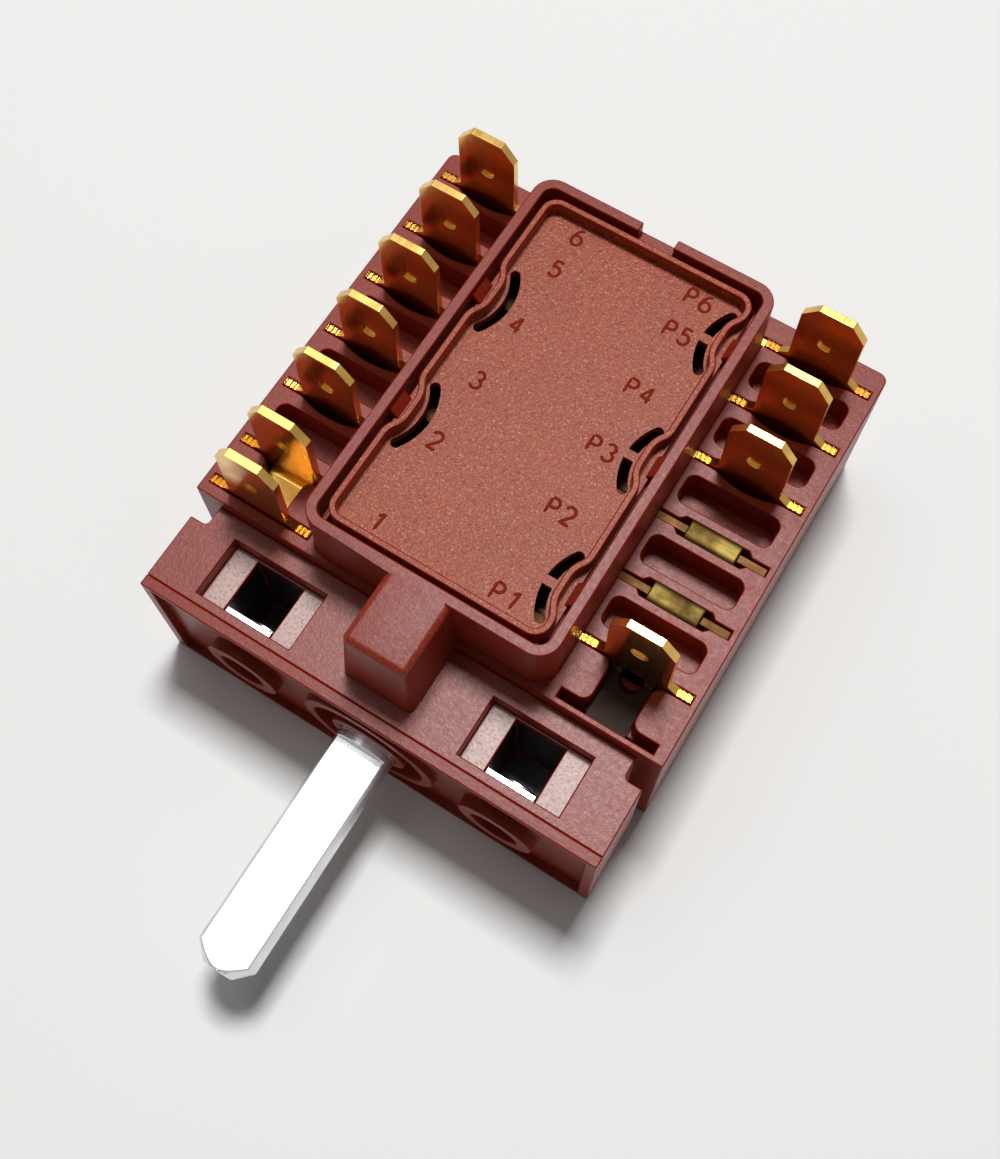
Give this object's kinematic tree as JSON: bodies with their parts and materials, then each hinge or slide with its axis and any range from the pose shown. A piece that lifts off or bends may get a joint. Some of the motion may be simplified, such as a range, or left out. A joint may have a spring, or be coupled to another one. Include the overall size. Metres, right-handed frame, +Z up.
{
  "type": "oven selector switch",
  "caption": "Rotary cam switch with a flatted control shaft, a moulded housing and two rows of tab terminals.",
  "frame": {"origin": "on the shaft's axis, in the plane of the two screw bosses' faces, which meets the oven's panel bracket", "axes": "+X across, with the single-tab row P1 to P6 on the +X side; +Y from the front plate to the back; +Z up through the tabs"},
  "size_m": [0.0492, 0.0771, 0.0294],
  "materials": {
    "housing": "matte brown-red thermoset",
    "terminal_brass": "bright stamped brass",
    "plated_steel": "bright zinc plate",
    "spring_steel": "plain spring steel",
    "inner_plastic": "matte natural plastic",
    "contact_silver": "satin silver alloy"
  },
  "bodies": {
    "switch_body": {"contact_housing": "housing", "front_housing": "housing", "front_plate": "housing", "lid": "housing", "detent_ball": "spring_steel", "detent_spring": "spring_steel", "nut_plate_left": "plated_steel", "nut_plate_right": "plated_steel", "housing_screws": "plated_steel", "terminal_1": "terminal_brass", "terminal_p1": "terminal_brass", "fixed_contacts": "contact_silver", "moving_contacts": "contact_silver", "terminal_2": "terminal_brass", "contact_p2": "terminal_brass", "terminal_3": "terminal_brass", "contact_p3": "terminal_brass", "terminal_4": "terminal_brass", "terminal_p4": "terminal_brass", "terminal_5": "terminal_brass", "terminal_p5": "terminal_brass", "terminal_6": "terminal_brass", "terminal_p6": "terminal_brass", "contact_bridge_1": "terminal_brass", "contact_spring_1": "spring_steel", "pusher_1": "inner_plastic", "contact_bridge_2": "terminal_brass", "contact_spring_2": "spring_steel", "pusher_2": "inner_plastic", "contact_bridge_3": "terminal_brass", "contact_spring_3": "spring_steel", "pusher_3": "inner_plastic", "contact_bridge_4": "terminal_brass", "contact_spring_4": "spring_steel", "pusher_4": "inner_plastic", "contact_bridge_5": "terminal_brass", "contact_spring_5": "spring_steel", "pusher_5": "inner_plastic", "contact_bridge_6": "terminal_brass", "contact_spring_6": "spring_steel", "pusher_6": "inner_plastic"},
    "rotor": {"shaft": "plated_steel", "cam_drum": "inner_plastic", "detent_wheel": "inner_plastic", "shaft_clip": "spring_steel"}
  },
  "joints": [
    {"name": "shaft_turn", "type": "hinge", "parent": "switch_body", "child": "rotor", "pos_m": [0, 0, 0], "axis": [0, 1, 0], "continuous": true}
  ]
}
